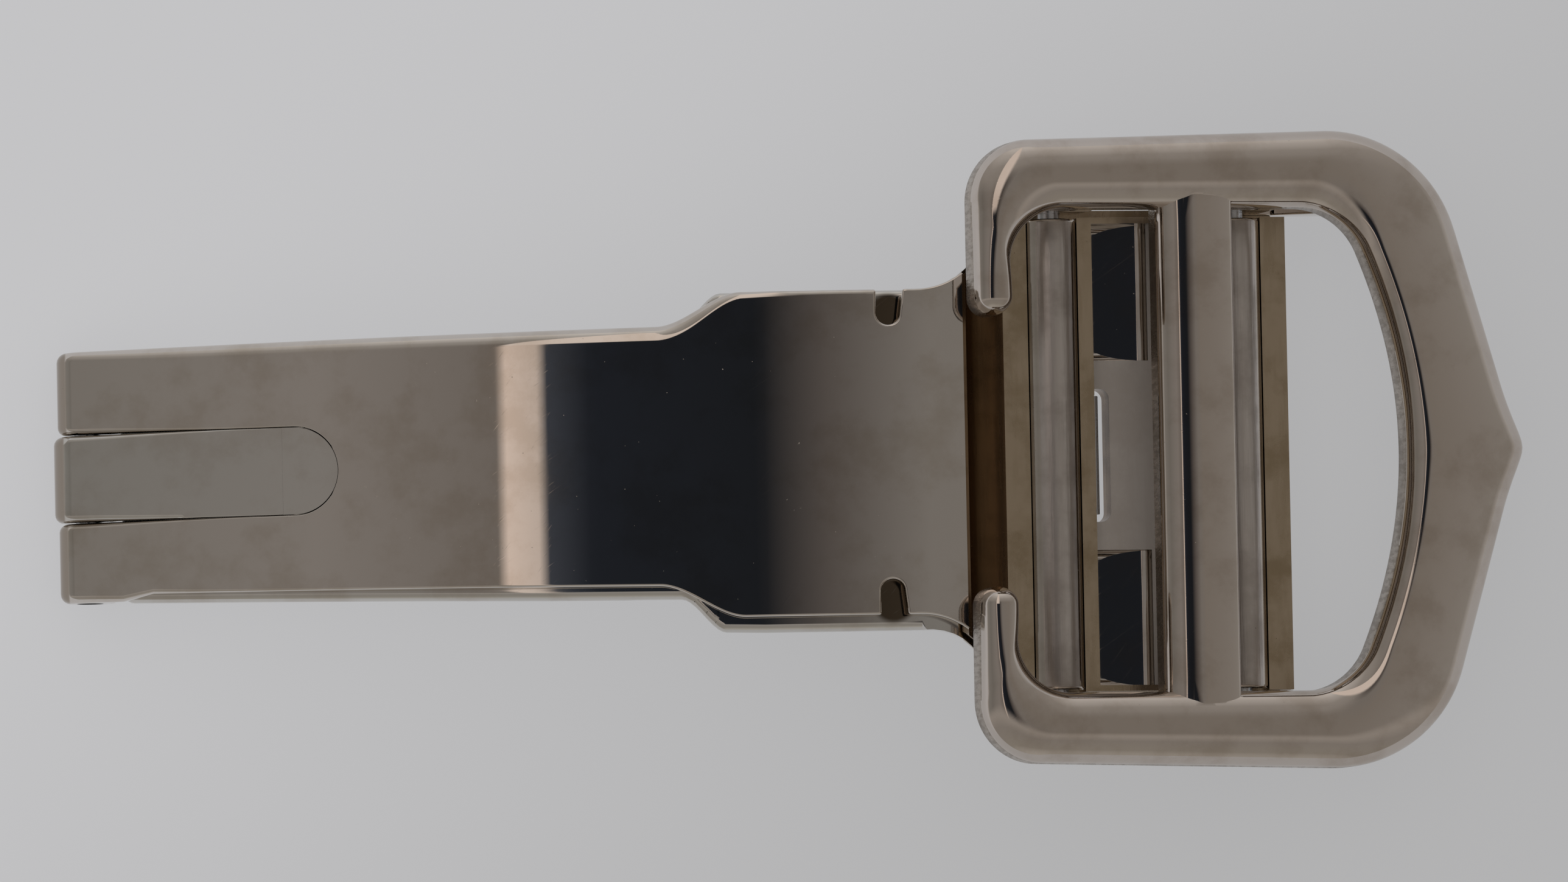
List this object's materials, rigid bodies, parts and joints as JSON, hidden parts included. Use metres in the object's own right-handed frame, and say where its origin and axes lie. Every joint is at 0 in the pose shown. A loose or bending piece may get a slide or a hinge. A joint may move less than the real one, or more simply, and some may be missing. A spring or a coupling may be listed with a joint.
{
  "type": "folding deployant watch clasp",
  "caption": "Folding clasp for a watch strap: arched blades on a fold hinge, a milled saddle with two spring bars, and a D-shaped lifting frame that clamps the strap.",
  "frame": {"origin": "middle of the length and width, at the lowest point of the closed clasp: the undersides of the strap lugs", "axes": "+X from the fold hinge to the point of the frame, +Y to the left lug, +Z away from the wrist"},
  "size_m": [0.0498, 0.0216, 0.0088],
  "materials": {
    "polished_steel": "polished steel with fine scratches",
    "milled_steel": "milled steel, tarnished brown on its flats",
    "bar_steel": "polished steel, worn satin along the middle",
    "spring_steel": "plain spring steel"
  },
  "bodies": {
    "inner": {"inner_blade": "polished_steel", "strap_lug_left": "polished_steel", "strap_lug_right": "polished_steel", "catch_rivets": "spring_steel"},
    "cover": {"cover_blade": "polished_steel", "saddle_block": "milled_steel", "fold_hinge_pin": "spring_steel"},
    "buckle": {"buckle_frame": "polished_steel", "front_ear_left": "polished_steel", "front_ear_right": "polished_steel", "rear_ear_left": "polished_steel", "rear_ear_right": "polished_steel"},
    "front_bar": {"front_bar_tube": "bar_steel", "front_bar_spring": "spring_steel"},
    "rear_bar": {"rear_bar_tube": "bar_steel", "rear_bar_spring": "spring_steel"},
    "front_plunger_left": {"front_tip_left": "spring_steel"},
    "front_plunger_right": {"front_tip_right": "spring_steel"},
    "rear_plunger_left": {"rear_tip_left": "spring_steel"},
    "rear_plunger_right": {"rear_tip_right": "spring_steel"},
    "catch": {"catch_spring": "spring_steel"}
  },
  "joints": [
    {"name": "fold_hinge", "type": "hinge", "parent": "inner", "child": "cover", "pos_m": [-0.02372, 0, 0.00122], "axis": [0, -1, 0], "range_deg": [0, 150]},
    {"name": "buckle_lift", "type": "hinge", "parent": "cover", "child": "buckle", "pos_m": [0.00899, 0, 0.00452], "axis": [0, -1, 0], "range_deg": [0, 20]},
    {"name": "front_bar_roll", "type": "hinge", "parent": "cover", "child": "front_bar", "pos_m": [0.00899, 0, 0.00452], "axis": [0, 1, 0], "continuous": true},
    {"name": "rear_bar_roll", "type": "hinge", "parent": "cover", "child": "rear_bar", "pos_m": [0.01518, 0, 0.00292], "axis": [0, 1, 0], "continuous": true},
    {"name": "front_tip_left_press", "type": "slide", "parent": "front_bar", "child": "front_plunger_left", "axis": [0, -1, 0], "range_m": [0, 0.001], "stiffness_N_per_m": 800, "springref_m": -0.0015, "deforming": ["front_bar_spring"]},
    {"name": "front_tip_right_press", "type": "slide", "parent": "front_bar", "child": "front_plunger_right", "axis": [0, 1, 0], "range_m": [0, 0.001], "stiffness_N_per_m": 800, "springref_m": -0.0015, "deforming": ["front_bar_spring"]},
    {"name": "rear_tip_left_press", "type": "slide", "parent": "rear_bar", "child": "rear_plunger_left", "axis": [0, -1, 0], "range_m": [0, 0.001], "stiffness_N_per_m": 800, "springref_m": -0.0015, "deforming": ["rear_bar_spring"]},
    {"name": "rear_tip_right_press", "type": "slide", "parent": "rear_bar", "child": "rear_plunger_right", "axis": [0, 1, 0], "range_m": [0, 0.001], "stiffness_N_per_m": 800, "springref_m": -0.0015, "deforming": ["rear_bar_spring"]},
    {"name": "catch_flex", "type": "hinge", "parent": "inner", "child": "catch", "pos_m": [0.00859, 0, 0.00219], "axis": [0, 1, 0], "range_deg": [0, 6], "stiffness_Nm_per_rad": 0.3, "deforming": ["catch_spring"]}
  ]
}
